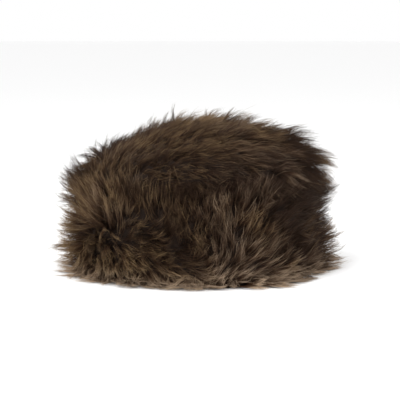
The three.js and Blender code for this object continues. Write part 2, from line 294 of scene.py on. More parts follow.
CROWN_TUFTS = table(CROWN_COLUMNS + " count", [
    (-0.9, 0.1, -10, 50, 0.6, 0.6, 2),
    (-0.3, 0.3, 50, 56, 0.9, 0.3, 3),
    (-0.22, 0.3, 58, 50, 0.8, 0.3, 2),
    (0.22, 0.3, 55, 44, 0.8, 0.5, 3),
    (0.5, 0.3, 64, 18, 0.7, 0.3, 2),
    (0.71, -0.66, 80, 22, 1.15, 0.8, 6),
    (0.92, -0.2, 80, 47, 1.4, 0.4, 8),
    (0.93, 0.05, 80, 46, 1.3, 0.4, 7),
    (0.97, -0.2, 78, 54, 1.3, 0.4, 5),
    (-0.96, -0.05, -44, 40, 0.7, 0.1, 5),
    (0.42, 0.2, 70, 36, 0.8, 0.3, 4),
    (0.95, 0, 74, 60, 1.35, 0.45, 6),
])

# Single long hairs that hang over the seam in front.
CROWN_STRAYS = table(CROWN_COLUMNS + " count", [
    (-0.42, -0.88, 172, 36, 1.4, 0.7, 3),
    (-0.34, -0.89, 184, 34, 1.6, 0.8, 5),
    (-0.24, -0.88, 178, 36, 1.5, 0.7, 4),
])


def metres(name, description, default):
    """A property in metres."""
    return FloatProperty(name=name, description=description, default=default, unit="LENGTH")


def colour(name, description, default):
    """A property that is a linear colour."""
    return FloatVectorProperty(name=name, description=description, default=default, subtype="COLOR")


class FurSizes(bpy.types.PropertyGroup):
    """How thick the pelts are, and how long, wide and close the hair is."""

    hide: metres("Hide", "Thickness of the bare hide", 0.0025)
    band_underfur: metres("Band Underfur", "Thickness of the band's underfur", 0.013)
    crown_underfur: metres("Crown Underfur", "Thickness of the crown's underfur", 0.011)
    band_hair: metres("Band Hair", "Length of the band's long hair", 0.030)
    crown_hair: metres("Crown Hair", "Length of the crown's long hair", 0.028)
    width: metres("Hair Width", "Width of a hair near its root", 0.00044)
    lock_spacing: metres("Lock Spacing", "Distance from one lock to the next", 0.015)
    tuft_spacing: metres("Tuft Spacing", "Distance from one tuft to the next", 0.005)
    stiffness: FloatProperty(
        name="Stiffness", description="How much the hair keeps straight where the pelt curves away",
        default=0.55, min=0, max=1, subtype="FACTOR",
    )
    clearance: metres("Floor Clearance", "Height of the lowest hair over the floor", 0.0007)
    long_hairs: IntProperty(name="Long Hairs", description="Long hairs in one tuft", default=9, min=1)
    short_hairs: IntProperty(name="Short Hairs", description="Short hairs under one tuft", default=4, min=1)


class FurColours(bpy.types.PropertyGroup):
    """The colours along a hair, of the underfur and of the hide."""

    # The root colour is the hair's own darker base and painted shade of the fur's depths as well.
    root: colour("Root", "The hair at its root", (0.0115, 0.0052, 0.0027))
    shaft: colour("Shaft", "The middle of a hair", (0.060, 0.0296, 0.0140))
    rust: colour("Rust", "The middle of the redder hairs", (0.056, 0.0225, 0.0115))
    tip: colour("Tip", "The tips of the palest tufts", (0.42, 0.282, 0.142))
    ash: colour("Ash", "The greyer of the pale tips", (0.43, 0.315, 0.215))
    underfur: colour("Underfur", "The dense fur under the hair", (0.0095, 0.0046, 0.0026))
    hide: colour("Hide", "The bare inside of the pelts", (0.24, 0.16, 0.10))
    floor: colour("Floor", "The floor and what is behind it", (0.95, 0.95, 0.95))


class StudioSizes(bpy.types.PropertyGroup):
    """Where the camera stands and how strong the lights are."""

    distance: metres("Distance", "From the camera to the hat's axis", 1.346)
    height: metres("Height", "Of the camera over the floor", 0.23)
    aim: metres("Aim", "Height that the camera looks at", 0.063)
    aside: metres("Aside", "How far right of the hat's axis the camera looks", 0.0018)
    lens: FloatProperty(
        name="Lens", description="Focal length, on a 36 mm sensor", default=133.8, unit="CAMERA"
    )
    key: FloatProperty(name="Key", description="Power of the key light", default=24.6, unit="POWER")
    fill: FloatProperty(name="Fill", description="Power of the fill light", default=8.0, unit="POWER")
    sky: FloatProperty(name="Sky", description="Strength of the light from all around", default=1.0)


class Value:
    """A number on a shader socket. Python's operators on it add the Math nodes that work them out."""

    def __init__(self, shader, socket):
        self.shader = shader
        self.socket = socket

    def math(self, operation, other, turned=False):
        """The Math node of that operation on this value and the other, which comes first where turned."""
        sides = [other, self] if turned else [self, other]
        return self.shader.node("ShaderNodeMath", {"operation": operation}, dict(enumerate(sides)))

    def __add__(self, other):
        return self.math("ADD", other)

    def __sub__(self, other):
        return self.math("SUBTRACT", other)

    def __rsub__(self, other):
        return self.math("SUBTRACT", other, turned=True)

    def __mul__(self, other):
        return self.math("MULTIPLY", other)

    __radd__ = __add__
    __rmul__ = __mul__


class Shader:
    """A material's nodes round one Principled surface. even: by socket, what is the same all over it."""

    def __init__(self, name, even):
        self.material = bpy.data.materials.new(name)
        self.material.use_nodes = True
        self.tree = self.material.node_tree
        self.tree.nodes.clear()
        self.surface = self.tree.nodes.new("ShaderNodeBsdfPrincipled")
        end = self.tree.nodes.new("ShaderNodeOutputMaterial")
        self.tree.links.new(self.surface.outputs[0], end.inputs["Surface"])
        for socket, value in even.items():
            self.surface.inputs[socket].default_value = value

    def put(self, socket, value):
        """Links or sets a socket. A colour of three numbers gets its fourth."""
        if isinstance(value, Value):
            self.tree.links.new(value.socket, socket)
        elif hasattr(value, "__len__") and len(value) == 3 and socket.type == "RGBA":
            socket.default_value = (*value, 1)
        else:
            socket.default_value = value

    def node(self, kind, settings=None, inputs=None, output=0):
        """Adds a node of that type, sets it up, feeds its sockets and returns one of its outputs."""
        made = self.tree.nodes.new(kind)
        for key, value in (settings or {}).items():
            setattr(made, key, value)
        for key, value in (inputs or {}).items():
            self.put(made.inputs[key], value)
        return Value(self, made.outputs[output])

    def attribute(self, name):
        """The number of that name that the mesh holds for each of its points."""
        return self.node("ShaderNodeAttribute", {"attribute_name": name}, output="Fac")

    def noise(self, scale, detail=2.0):
        """Smooth noise in the piece's own space, from 0 to 1, with that many blobs to the metre."""
        place = self.node("ShaderNodeTexCoord", output="Object")
        sizes = {"Vector": place, "Scale": scale, "Detail": detail}
        return self.node("ShaderNodeTexNoise", None, sizes, output="Fac")

    def place(self, axis):
        """Metres along X, Y or Z."""
        place = self.node("ShaderNodeTexCoord", output="Object")
        return self.node("ShaderNodeSeparateXYZ", None, {"Vector": place}, output=axis)

    def between(self, value, low, high):
        """A smooth step from 0 at low to 1 at high."""
        edges = {"Value": value, "From Min": low, "From Max": high}
        return self.node("ShaderNodeMapRange", {"interpolation_type": "SMOOTHSTEP"}, edges)

    def mix(self, first, second, share):
        """The first colour, with that share of the second."""
        colours = {"Factor": share, 6: first, 7: second}
        return self.node("ShaderNodeMix", {"data_type": "RGBA"}, colours, output=2)

    def bump(self, height, distance):
        """Tilts the normal as if the height, from 0 to 1, were relief of that distance."""
        relief = {"Height": height, "Distance": distance}
        self.feed("Normal", self.node("ShaderNodeBump", None, relief))

    def feed(self, socket, value):
        """Links or sets a socket of the surface."""
        self.put(self.surface.inputs[socket], value)


def hair_finish(colours):
    """Hair that goes from a dark root through a brown shaft to a tip as pale as its tuft's tone. The dark
    root is the hair's own darker base and painted shade of the fur's depths as well, and a low tone keeps
    the shaft dark as painted shade. Near the floor the tips are paler and greyer, painted light thrown up
    from the floor. They are greyer in patches too, more of them to the right."""
    shader = Shader("combed_hair", {"Specular IOR Level": 0.12})
    along = shader.attribute("along")
    tone = shader.attribute("tone")
    tint = shader.attribute("tint")
    shaft = shader.mix(colours.shaft, colours.rust, shader.between(tint, 0.55, 1.0))
    # A low tone keeps the shaft near the root colour, painted shade where the combing tables darken it.
    body = shader.mix(colours.root, shaft, shader.between(along, 0.05, 0.6) * (0.24 + tone * 1.25))
    # low is painted light from the floor: the tips within about 2 cm of it are paler and greyer.
    low = 1 - shader.between(shader.place("Z"), 0.002, 0.022)
    paler = shader.between(along, 0.4, 1.0) * (tone + low * 0.5)
    greyer = shader.between(shader.noise(22) + shader.place("X") * 1.1, 0.42, 0.68)
    tip = shader.mix(colours.tip, colours.ash, greyer + low)
    shader.feed("Base Color", shader.mix(body, tip, paler))
    shader.feed("Roughness", 0.45 + tint * 0.2)
    return shader.material


def underfur_finish(colours):
    """Dense dark fur, lumpy at the size of a tuft and fine at the size of a hair."""
    shader = Shader("underfur", {"Specular IOR Level": 0.2, "Roughness": 0.85})
    lumps = shader.noise(160)
    hairs = shader.noise(1400, 4)
    colour = shader.mix(colours.underfur, colours.shaft, shader.between(hairs * lumps, 0.2, 0.6) * 0.5)
    shader.feed("Base Color", colour)
    shader.bump(hairs, 0.0008)
    return shader.material


def hide_finish(colours):
    """Napped hide: patches a little darker and lighter, under a fine short nap."""
    shader = Shader("napped_hide", {"Specular IOR Level": 0.25})
    patches = shader.noise(28, 3)
    nap = shader.noise(900, 3)
    dark = [c * 0.55 for c in colours.hide]
    light = shader.between(patches * 0.7 + nap * 0.3, 0.3, 0.7)
    shader.feed("Base Color", shader.mix(dark, colours.hide, light))
    shader.feed("Roughness", 0.75 + nap * 0.2)
    shader.bump(nap, 0.0005)
    return shader.material


def finish_of(name, make, colours):
    """The material of that name, which make makes when it is first asked for."""
    return bpy.data.materials.get(name) or make(colours)


# The CAD nodes of the hat's parts.
NODES = {"band": "side_band", "crown": "crown"}


def add_piece(name, part, points, corners, counts, material, values=None, places=None):
    """Makes a piece of the band or the crown of whole arrays: points, the corners of all faces one after
    another, and how many each face has. values are numbers for each point, and places is a map with two
    numbers for each corner."""
    node = NODES[part]
    if not np.isfinite(points).all():
        raise ValueError(f"{name} has points that aren't numbers")
    mesh = bpy.data.meshes.new(name)
    mesh.vertices.add(len(points))
    mesh.vertices.foreach_set("co", np.ascontiguousarray(points, np.float32).ravel())
    mesh.loops.add(len(corners))
    mesh.loops.foreach_set("vertex_index", np.ascontiguousarray(corners, np.int32))
    mesh.polygons.add(len(counts))
    starts = np.concatenate([[0], np.cumsum(counts)[:-1]])
    mesh.polygons.foreach_set("loop_start", starts.astype(np.int32))
    mesh.update(calc_edges=True)
    mesh.polygons.foreach_set("use_smooth", np.ones(len(counts), bool))
    for key, value in (values or {}).items():
        layer = mesh.attributes.new(key, "FLOAT", "POINT")
        layer.data.foreach_set("value", value.astype(np.float32))
    if places is not None:
        layer = mesh.uv_layers.new(name="OFBake", do_init=False)
        layer.uv.foreach_set("vector", np.ascontiguousarray(places, np.float32).ravel())
    mesh.materials.append(material)
    piece = bpy.data.objects.new(name, mesh)
    bpy.context.scene.collection.objects.link(piece)
    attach(piece, "root")
    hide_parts(node)
    return piece


def oval(around, share, out, z):
    """A point on the head's oval: (A share + out) sin a, -(B share + out) cos a, at height z."""
    x = AXIS[0] + (HEAD[0] * share + out) * np.sin(around)
    y = AXIS[1] - (HEAD[1] * share + out) * np.cos(around)
    return np.stack([x, y, z + 0 * x], -1)


def weights(near):
    """Shares that fall as a bell does with near, the squared distance, and add up to 1 for each place."""
    bell = np.exp(-near) + FAR_SHARE / (1 + near)
    return bell / bell.sum(-1, keepdims=True)


class BandPelt:
    """The band laid flat: q is metres round it from the front and metres up."""

    # Hair grows up to this share of the height, and each root lies this share of a turn from the one before.
    TOP = 0.985
    GOLDEN_SHARE = 0.6180339887

    def __init__(self, sizes):
        self.sizes = sizes
        self.radius = HEAD.mean() + sizes.hide + sizes.band_underfur
        self.thick = sizes.band_underfur
        self.length = sizes.band_hair
        self.area = 2 * np.pi * self.radius * SEAM

    def around(self, q):
        """The angle from the front: the way round over the radius."""
        return q[..., 0] / self.radius

    def turned(self, q, degrees):
        """Degrees from each of those angles to q, the short way round."""
        return (np.degrees(self.around(q))[..., None] - degrees + 180) % 360 - 180

    def surface(self, q, sunk=0.0, top=0.8):
        """The oval of the head, out by the hide and the underfur's share of its thickness, less its dents,
        each a bell of its depth. Over the share top of the height the underfur's own edge isn't followed, so
        hair grows on past the seam."""
        up = np.clip(q[..., 1] / SEAM, 0, top)
        wide = self.turned(q, BAND_DENTS["around"]) / BAND_DENTS["wide"]
        tall = (up[..., None] - BAND_DENTS["up"]) / BAND_DENTS["tall"]
        dented = (BAND_DENTS["depth"] * np.exp(-(wide**2 + tall**2))).sum(-1)
        swell = np.interp(up, BAND_OUTLINE["up"], BAND_OUTLINE["swell"]) * (1 - dented)
        return oval(self.around(q), 1, self.sizes.hide + self.thick * swell - sunk, q[..., 1])

    def place(self, rows):
        """Where the rows of a table are."""
        return np.stack([np.radians(rows["around"]) * self.radius, rows["up"] * SEAM], -1)

    def laid(self, q, plan):
        """A direction on the pelt. The band's are flat already."""
        return plan

    def comb(self, q):
        """The blend of the combing rows near q: a flat direction, and their lift, length and tone."""
        wide = self.turned(q, BAND_COMBING["around"]) / COMB_AROUND
        tall = (q[..., 1] / SEAM)[..., None] - BAND_COMBING["up"]
        share = weights(wide**2 + tall**2 / COMB_UP**2)
        return blended(share, BAND_COMBING)

    def scatter(self, count, rng):
        """Places on a golden-ratio lattice: the i-th is i times the golden share round, and i / n up."""
        i = np.arange(count)
        round_share = (i * self.GOLDEN_SHARE) % 1
        up = (i + rng.uniform(0, 1, count)) / count
        return np.stack([(round_share - 0.5) * 2 * np.pi * self.radius, up * SEAM * self.TOP], -1)

    def apart(self, a, b):
        """The distance of each of a from each of b, the short way round."""
        turn = 2 * np.pi * self.radius
        x = (a[:, None, 0] - b[None, :, 0] + turn / 2) % turn - turn / 2
        return np.hypot(x, a[:, None, 1] - b[None, :, 1])


class CrownPelt:
    """The dome laid flat from its top: q is metres to the right and to the back, along the dome."""

    # Each root lies this many radians round from the one before.
    GOLDEN_ANGLE = 2.3999632297

    def __init__(self, sizes):
        """Works out the dome's section, from its top to its rim, by the way along it."""
        self.sizes = sizes
        self.thick = sizes.crown_underfur
        self.length = sizes.crown_hair
        across = np.linspace(0, 1, 65)
        swell = np.interp(across, CROWN_OUTLINE["across"], CROWN_OUTLINE["swell"])
        rise = np.interp(across, CROWN_OUTLINE["across"], CROWN_OUTLINE["rise"])
        deep = sizes.hide + self.thick * swell
        out = deep * across**3
        over = deep * (1 - across**4)
        radius = HEAD.mean() * across + out
        run = np.hypot(np.diff(radius), np.diff(CROWN_RISE * rise + over))
        reach = np.concatenate([[0], np.cumsum(run)])
        self.rim = reach[-1]
        self.section = {
            "reach": reach, "across": across, "rise": rise, "out": out, "over": over, "radius": radius,
        }
        self.area = 2 * np.pi * (radius[1:] * run).sum()
        ring = np.concatenate([[0], np.cumsum(radius[1:] * run)])
        self.even = ring / ring[-1]

    def along(self, reach, column):
        """A column of the section at those ways along it."""
        return np.interp(reach, self.section["reach"], self.section[column])

    def around(self, q):
        """The angle from the front."""
        return np.arctan2(q[..., 0], -q[..., 1])

    def surface(self, q, sunk=0.0, top=0.9):
        """The dome over the oval, thickened upwards on top and outwards at its rim. It rises more to the
        right by the sine of the angle. Past the rim it goes straight down. top is the share of the radius
        that the underfur's own edge is followed to."""
        reach = np.hypot(q[..., 0], q[..., 1])
        around = self.around(q)
        across = self.along(reach, "across")
        edge = np.interp(top, self.section["across"], self.section["reach"])
        kept = np.where(across > top, self.along(edge, "out"), 0)
        swell_out = np.maximum(self.along(reach, "out"), kept)
        lean = 1 + CROWN_LEAN * across * np.sin(around)
        z = SEAM + CROWN_RISE * lean * self.along(reach, "rise") + self.along(reach, "over")
        z = z - np.maximum(reach - self.rim, 0) - sunk * (1 - across**4)
        return oval(around, across, swell_out - sunk * across**3, z)

    def place(self, rows):
        """Where the rows of a table are: their share of the radius, as metres along the dome."""
        share = np.maximum(np.hypot(rows["right"], rows["back"]), TINY)
        reach = np.interp(share, self.section["across"], self.section["reach"])
        return np.stack([rows["right"], rows["back"]], -1) * (reach / share)[:, None]

    def laid(self, q, plan):
        """A direction seen from above, along the dome: its part round the dome is scaled by the flat radius
        over the real one."""
        reach = np.maximum(np.hypot(q[..., 0], q[..., 1]), TINY)
        outward = q / reach[..., None]
        sideways = np.stack([-outward[..., 1], outward[..., 0]], -1)
        scale = reach / np.maximum(self.along(reach, "radius"), TINY)
        flow = outward * (plan * outward).sum(-1)[..., None]
        return flow + sideways * ((plan * sideways).sum(-1) * scale)[..., None]

    def comb(self, q):
        """The blend of the combing rows near q: a direction along the dome, and lift, length and tone."""
        reach = np.maximum(np.hypot(q[..., 0], q[..., 1]), TINY)
        place = q * (self.along(reach, "across") / reach)[..., None]
        near = (place[..., 0, None] - CROWN_COMBING["right"]) ** 2
        near = near + (place[..., 1, None] - CROWN_COMBING["back"]) ** 2
        share = weights(near / COMB_ACROSS**2)
        plan, style = blended(share, CROWN_COMBING)
        return self.laid(q, plan), style

    def scatter(self, count, rng):
        """Places on a sunflower's spiral: equal areas from the top down, a golden angle apart."""
        i = np.arange(count)
        even = (i + rng.uniform(0, 1, count)) / count
        reach = np.interp(even, self.even, self.section["reach"])
        angle = i * self.GOLDEN_ANGLE
        return np.stack([reach * np.cos(angle), reach * np.sin(angle)], -1)

    def apart(self, a, b):
        """The distance of each of a from each of b."""
        return np.hypot(*(a[:, None] - b[None, :]).transpose(2, 0, 1))


def blended(share, rows):
    """The shared mean of combing rows: their direction, and their lift, length and tone."""
    lean = np.radians(rows["lean"])
    flow = np.stack([(share * np.sin(lean)).sum(-1), (share * np.cos(lean)).sum(-1)], -1)
    style = {key: (share * rows[key]).sum(-1) for key in ("lift", "long", "tone")}
    style["lift"] = np.radians(style["lift"])
    return flow, style


def normal_of(pelt, q, step=0.0008):
    """The pelt's outward direction: the cross product of two short steps on it."""
    first = pelt.surface(q + [step, 0]) - pelt.surface(q - [step, 0])
    second = pelt.surface(q + [0, step]) - pelt.surface(q - [0, step])
    return unit(np.cross(first, second))


def unit(v, least=1e-12):
    """The vectors over their lengths, or over the least length where they are shorter."""
    return v / np.maximum(np.linalg.norm(v, axis=-1, keepdims=True), least)


# Steps of a tuft's curve. Its lift is multiplied by the steepness at its root, which has fallen by the
# flattening at its tip, and it is never over the limit, in radians.
STEPS = 6
STEEPNESS = 1.5
FLATTENING = 0.9
LIFT_LIMIT = 1.4

# Where rows of the comb meet head on, the flow is short. Under this length it isn't made a whole step.
SHORT_FLOW = 0.25

# The short way along the pelt that a tuft's own direction is worked out from.
NUDGE = 0.001


def grow(pelt, roots, length, turn, lift, stiff, comb=None):
    """Carries a curve from each root along the combing, turned by turn. A step goes along the pelt by the
    cosine of its lift, and off it by the sine. One such curve hugs the pelt, another keeps the root's own
    directions, and the stiffness is the share of the second. Returns points by step."""
    q = roots.copy()
    height = np.zeros(len(q))
    along = np.zeros(len(q))
    start = pelt.surface(q)
    outward = normal_of(pelt, q)
    hugging = [start]
    straight = [start]
    for k in range(STEPS):
        flow, style = (comb or pelt.comb)(q)
        flow = unit(flow, SHORT_FLOW)
        sideways = flow[:, 0] * np.cos(turn) + flow[:, 1] * np.sin(turn)
        onwards = flow[:, 1] * np.cos(turn) - flow[:, 0] * np.sin(turn)
        flow = np.stack([sideways, onwards], -1)
        if k == 0:
            onward = unit(pelt.surface(q + flow * NUDGE) - start)
        steepness = STEEPNESS - FLATTENING * k / (STEPS - 1)
        rise = np.clip((style["lift"] + lift) * steepness, 0, LIFT_LIMIT)
        stride = length / STEPS
        q = q + flow * (stride * np.cos(rise))[:, None]
        height = height + stride * np.sin(rise)
        along = along + stride * np.cos(rise)
        hugging.append(pelt.surface(q) + normal_of(pelt, q) * height[:, None])
        straight.append(start + onward * along[:, None] + outward * height[:, None])
    return np.stack(hugging, 1) * (1 - stiff) + np.stack(straight, 1) * stiff


def on_curve(curves, which, t):
    """The points at t, from 0 to 1, on the curves of many points that which names."""
    steps = curves.shape[1] - 1
    place = np.clip(t, 0, 1) * steps
    low = np.minimum(place.astype(int), steps - 1)
    share = (place - low)[..., None]
    return curves[which[:, None], low] * (1 - share) + curves[which[:, None], low + 1] * share


# A hair's thickness over its width.
HAIR_FLAT = 0.7


def needles(centres, facing, width, rings):
    """Closed three-sided needles along the centres. A ring's points are centre + r (cos f b + flat sin f c),
    where b is across the hair on the pelt, c is square to both, and r falls as the root of what is left."""
    along = unit(np.gradient(centres, axis=1))
    side = unit(np.cross(along, facing[:, None]))
    up = np.cross(side, along)
    t = np.linspace(0, 1, rings + 1)[:-1]
    radius = (width[:, None] / 2) * np.sqrt(1 - t)[None, :]
    angle = np.radians([90, 210, 330])
    across = side[:, :-1, None] * np.cos(angle)[None, None, :, None]
    over = up[:, :-1, None] * HAIR_FLAT * np.sin(angle)[None, None, :, None]
    ring = across + over
    points = centres[:, :-1, None] + ring * radius[:, :, None, None]
    return np.concatenate([points.reshape(len(centres), -1, 3), centres[:, -1:]], 1)


def needle_faces(rings):
    """One needle's faces: a cap on its root, quads between its rings and three triangles to its tip. Also
    each corner's place round and along it, for its map."""
    corners = [0, 1, 2]
    counts = [3]
    places = [(0, 0), (1, 0), (2, 0)]
    for k in range(rings - 1):
        for i in range(3):
            j = (i + 1) % 3
            corners += [3 * k + i, 3 * k + 3 + i, 3 * k + 3 + j, 3 * k + j]
            counts.append(4)
            places += [(i, k), (i, k + 1), (i + 1, k + 1), (i + 1, k)]
    for i in range(3):
        corners += [3 * rings - 3 + i, 3 * rings, 3 * rings - 3 + (i + 1) % 3]
        counts.append(3)
        places += [(i, rings - 1), (i + 0.5, rings), (i + 1, rings - 1)]
    return np.array(corners), np.array(counts), np.array(places) / (3, rings)


def hair_arrays(centres, facing, width, tone, tint, rings, start):
    """All that a batch of equal hairs gives to a mesh, apart from its place on the map. The attribute along
    runs from start at a root to 1 at a tip."""
    points = needles(centres, facing, width, rings)
    along = np.append(np.repeat(np.linspace(start, 1, rings + 1)[:-1], 3), 1.0)
    count, each = points.shape[:2]
    corners, counts, places = needle_faces(rings)
    return {
        "points": points.reshape(-1, 3),
        "corners": (corners[None] + (np.arange(count) * each)[:, None]).ravel(),
        "counts": np.tile(counts, count),
        "places": np.tile(places, (count, 1, 1)),
        "along": np.tile(along, count),
        "tone": np.repeat(tone, each),
        "tint": np.repeat(tint, each),
    }


# The free edge of a hair's cell on the map, as a share of the cell.
CELL_EDGE = 0.12


def add_hairs(name, part, batches, colours):
    """Joins batches of hairs in one mesh. On its map each hair has a cell of its own in a grid."""
    total = sum(len(b["places"]) for b in batches)
    columns = int(np.ceil(np.sqrt(total * 3)))
    rows = int(np.ceil(total / columns))
    start = 0
    first = 0
    points = []
    corners = []
    places = []
    for b in batches:
        cell = first + np.arange(len(b["places"]))
        corner = np.stack([cell % columns, cell // columns], -1)
        inside = CELL_EDGE + (1 - 2 * CELL_EDGE) * b["places"]
        places.append(((corner[:, None] + inside) / (columns, rows)).reshape(-1, 2))
        points.append(b["points"])
        corners.append(b["corners"] + start)
        start += len(b["points"])
        first += len(cell)
    values = {k: np.concatenate([b[k] for b in batches]) for k in ("along", "tone", "tint")}
    return add_piece(
        name,
        part,
        np.concatenate(points),
        np.concatenate(corners),
        np.concatenate([b["counts"] for b in batches]),
        finish_of("combed_hair", hair_finish, colours),
        values,
        np.concatenate(places),
    )


# The most that one hair rests over another on the floor, and one tuft over another.
HAIR_REST = 0.001
TUFT_REST = 0.005


def off_floor(centres, clearance, rest, rng):
    """Lifts what would go through the floor: over it by the clearance, the tuft's rest and the hair's."""
    lowest = clearance + rest[:, None] + rng.uniform(0, HAIR_REST, (len(centres), 1))
    centres[..., 2] = np.maximum(centres[..., 2], lowest)
    return centres


# How locks, and the tufts in them, differ by chance. long: least and most share of the length. turn, lift:
# spread in radians. tone: spread. A share of the tufts are rebels, which turn and lift more.
LOCK_CHANCE = {"long": (0.85, 1.2), "turn": 0.18, "lift": 0.10, "tone": 0.10}
TUFT_CHANCE = {"long": (0.85, 1.15), "turn": 0.32, "lift": 0.15, "tone": 0.08}
REBELS = {"share": 0.14, "turn": 0.8, "lift": 0.3}

# How far a tuft's tip leans over to its lock's, as a share of the way.
LOCK_PULL = 0.3


def tufts_of(pelt, sizes, rng):
    """The curves that tufts of hair follow. Each tuft leans over to the nearest of the wider locks, more so
    towards its tip: by the pull times t to the power 1.5 of the way there."""
    locks = pelt.scatter(int(pelt.area / sizes.lock_spacing**2), rng)
    lock_style = pelt.comb(locks)[1]
    lock_long = rng.uniform(*LOCK_CHANCE["long"], len(locks))
    lock_turn = rng.normal(0, LOCK_CHANCE["turn"], len(locks))
    lock_lift = rng.normal(0, LOCK_CHANCE["lift"], len(locks))
    lock_tone = rng.normal(0, LOCK_CHANCE["tone"], len(locks))
    lock_length = pelt.length * lock_style["long"] * lock_long
    lock_curves = grow(pelt, locks, lock_length, lock_turn, lock_lift, sizes.stiffness)
    roots = pelt.scatter(int(pelt.area / sizes.tuft_spacing**2), rng)
    count = len(roots)
    style = pelt.comb(roots)[1]
    home = pelt.apart(roots, locks).argmin(1)
    long = style["long"] * lock_long[home] * rng.uniform(*TUFT_CHANCE["long"], count)
    rebel = rng.uniform(0, 1, count) < REBELS["share"]
    turn = lock_turn[home] + rng.normal(0, TUFT_CHANCE["turn"], count)
    turn = turn + rebel * rng.normal(0, REBELS["turn"], count)
    lift = lock_lift[home] + rng.normal(0, TUFT_CHANCE["lift"], count) + rebel * REBELS["lift"]
    curves = grow(pelt, roots, pelt.length * long, turn, lift, sizes.stiffness)
    t = np.linspace(0, 1, curves.shape[1])[None, :, None]
    curves = curves + (lock_curves[home] - curves) * LOCK_PULL * t**1.5
    return {
        "roots": roots,
        "curves": curves,
        "tone": style["tone"] + lock_tone[home] + rng.normal(0, TUFT_CHANCE["tone"], count),
        "rest": rng.uniform(0, 1, count) ** 2 * TUFT_REST,
        "turned": np.degrees(pelt.around(roots)),
    }


# How listed tufts differ by chance. place: spread in metres about their row.
SINGLE_CHANCE = {"place": 0.0028, "long": (0.85, 1.15), "turn": 0.16, "lift": 0.1}


def single_tufts(pelt, rows, stiff, rng):
    """The curves of the tufts that a table places one by one, each near its row and along the row's lean."""
    rows = np.repeat(rows, rows["count"].astype(int))
    count = len(rows)
    roots = pelt.place(rows) + rng.normal(0, SINGLE_CHANCE["place"], (count, 2))
    lean = np.radians(rows["lean"])
    plan = np.stack([np.sin(lean), np.cos(lean)], -1)
    long = pelt.length * rows["long"] * rng.uniform(*SINGLE_CHANCE["long"], count)
    turn = rng.normal(0, SINGLE_CHANCE["turn"], count)
    lift = np.radians(rows["lift"]) + rng.normal(0, SINGLE_CHANCE["lift"], count)
    curves = grow(pelt, roots, long, turn, lift, stiff, lambda q: (pelt.laid(q, plan), {"lift": 0.0}))
    rest = rng.uniform(0, HAIR_REST, count)
    return {"roots": roots, "curves": curves, "tone": rows["tone"], "rest": rest}


# How many tufts stand round the band's lower edge.
EDGE_TUFTS = 170


def edge_rows(rng):
    """Short pale tufts all round the band's lower edge, that lean down and to either side of it. Their
    paleness is partly pale tips and partly painted light thrown up from the floor.
    """
    rows = np.zeros(EDGE_TUFTS, BAND_TUFTS.dtype)
    rows["around"] = np.linspace(-180, 180, len(rows), endpoint=False)
    rows["up"] = rng.uniform(0, 0.12, len(rows))
    rows["lean"] = 180 + rng.normal(0, 50, len(rows))
    rows["lift"] = rng.uniform(25, 65, len(rows))
    rows["long"] = rng.uniform(0.3, 0.95, len(rows))
    rows["tone"] = rng.uniform(0.5, 1.2, len(rows))
    rows["count"] = 1
    return rows


# The kinds of hair. rings: of a needle. spread: of the roots, in tuft spacings. share: least and most of the
# tuft's length. hold: how close a tip is drawn to the tuft's. loose, wave: spread in metres of the tips off
# the pelt and of the waves. width: in hair widths. pale: times the tuft's tone. start: where along the
# colours the root is. each: hairs in a tuft. stiff: stiffness of the tufts that a table places one by one.
HAIR_COLUMNS = "rings spread share hold loose wave width pale start each stiff".split()
HAIR_ROWS = {
    "long": (3, 0.9, (0.7, 1), (0.35, 0.95), 0.0011, 0.0009, 1, 0.62, 0),
    "short": (2, 1, (0.3, 0.55), (0, 0.5), 0.0008, 0.0006, 1.3, 0.35, 0),
    "guard": (3, 1.2, (0.8, 1.05), (-0.6, 0.5), 0.003, 0.002, 0.8, 1.6, 0.2, 2),
    "lock": (3, 0.6, (0.65, 1), (0.5, 1), 0.0011, 0.0009, 1, 0.7, 0, 16, 0.9),
    "stray": (3, 0.6, (0.8, 1), (0, 0.6), 0.001, 0.001, 0.45, 1, 0.6, 1, 0.5),
    "edge": (3, 0.9, (0.5, 1), (-0.3, 0.6), 0.0015, 0.001, 1.1, 1, 0.35, 11, 0.5),
}
HAIR = {kind: dict(zip(HAIR_COLUMNS, row)) for kind, row in HAIR_ROWS.items()}

# The tufts that tables place one by one on each pelt, and the middles of the sectors in degrees.
SINGLES = {
    "band": [(BAND_TUFTS, "lock")],
    "crown": [(CROWN_TUFTS, "lock"), (CROWN_STRAYS, "stray")],
}
SECTORS = {"front": 0, "right": 120, "left": 240}

# How deep hairs are rooted, least and most half waves along one, least and most share of the width, the
# spread of the tone and its most.
ROOT_DEPTH = 0.002
HALF_WAVES = (1, 2.2)
WIDTH_CHANCE = (0.75, 1.25)
TONE_SPREAD = 0.14
TONE_LIMIT = 1.2


